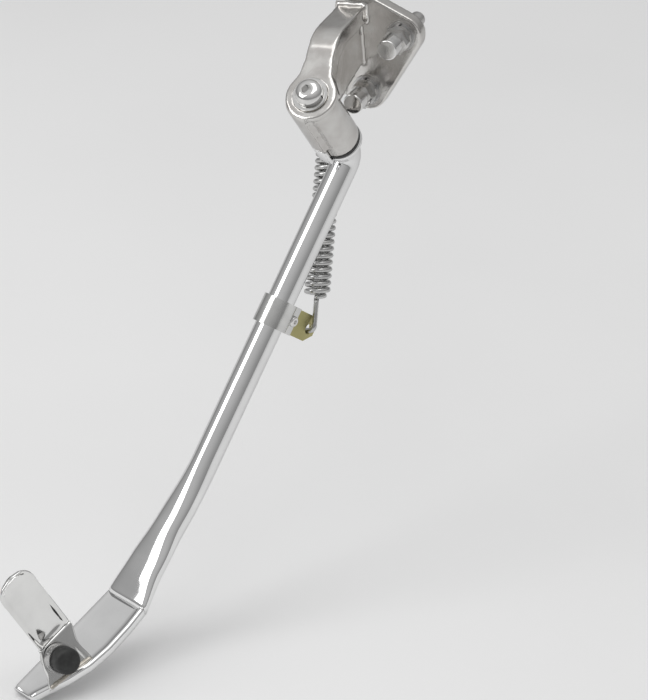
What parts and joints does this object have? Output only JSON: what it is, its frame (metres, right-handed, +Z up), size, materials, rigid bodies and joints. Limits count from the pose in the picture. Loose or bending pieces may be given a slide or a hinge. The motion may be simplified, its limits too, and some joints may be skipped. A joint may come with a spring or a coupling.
{
  "type": "motorcycle kickstand",
  "caption": "Chromed motorcycle side stand: forged pivot bracket, swinging leg flattened into a bent foot, over-centre return spring, and a kick tab with a rubber bumper.",
  "frame": {"origin": "middle of the bracket's mounting face, between the two studs", "axes": "+X towards the rear of the motorcycle, +Y inboard into the frame (out of the mounting face), +Z up; the leg is stored swung out, standing on the ground"},
  "size_m": [0.1571, 0.3089, 0.3728],
  "materials": {
    "forged_chrome": "satin chrome over forging",
    "leg_chrome": "bright chrome plate",
    "tab_chrome": "bright chrome plate",
    "screw_chrome": "chrome plate",
    "nut_chrome": "chrome plate",
    "bright_steel": "zinc plate",
    "clamp_steel": "zinc plate",
    "spring_steel": "plated spring wire",
    "bush_bronze": "sintered bronze",
    "seal_rubber": "moulded rubber",
    "bumper_rubber": "moulded rubber, matt"
  },
  "bodies": {
    "bracket": {"mount_bracket": "forged_chrome", "spring_anchor_pin": "bright_steel", "upper_pivot_bush": "bush_bronze", "lower_pivot_bush": "bush_bronze", "thrust_washer": "bush_bronze", "pivot_seal": "seal_rubber", "frame_studs": "bright_steel", "stud_flat_washers": "bright_steel", "stud_lock_washers": "bright_steel", "stud_cap_nuts": "nut_chrome"},
    "swing_leg": {"leg": "leg_chrome", "pivot_washer": "bright_steel", "pivot_lock_washer": "bright_steel", "pivot_screw": "screw_chrome", "spring_clamp": "clamp_steel", "spring_tab": "clamp_steel", "clamp_screw": "screw_chrome", "clamp_nut": "bright_steel", "kick_tab": "tab_chrome", "bumper_ferrule": "bright_steel", "rubber_bumper": "bumper_rubber", "bumper_nut": "bright_steel", "bumper_screw": "screw_chrome"},
    "spring": {"return_spring": "spring_steel"}
  },
  "joints": [
    {"name": "leg_swing", "type": "hinge", "parent": "bracket", "child": "swing_leg", "pos_m": [-0.0164, -0.087, 0.008], "axis": [-0.046, -0.6584, 0.7513], "range_deg": [0, 95]},
    {"name": "spring_turn", "type": "hinge", "parent": "bracket", "child": "spring", "pos_m": [-0.03326, -0.00999, -0.03828], "axis": [-0.046, -0.6584, 0.7513], "range_deg": [0, 71.5], "deforming": ["return_spring"]}
  ],
  "couplings": [
    {"joint": "spring_turn", "follows": "leg_swing", "ratio": 0.7495}
  ]
}
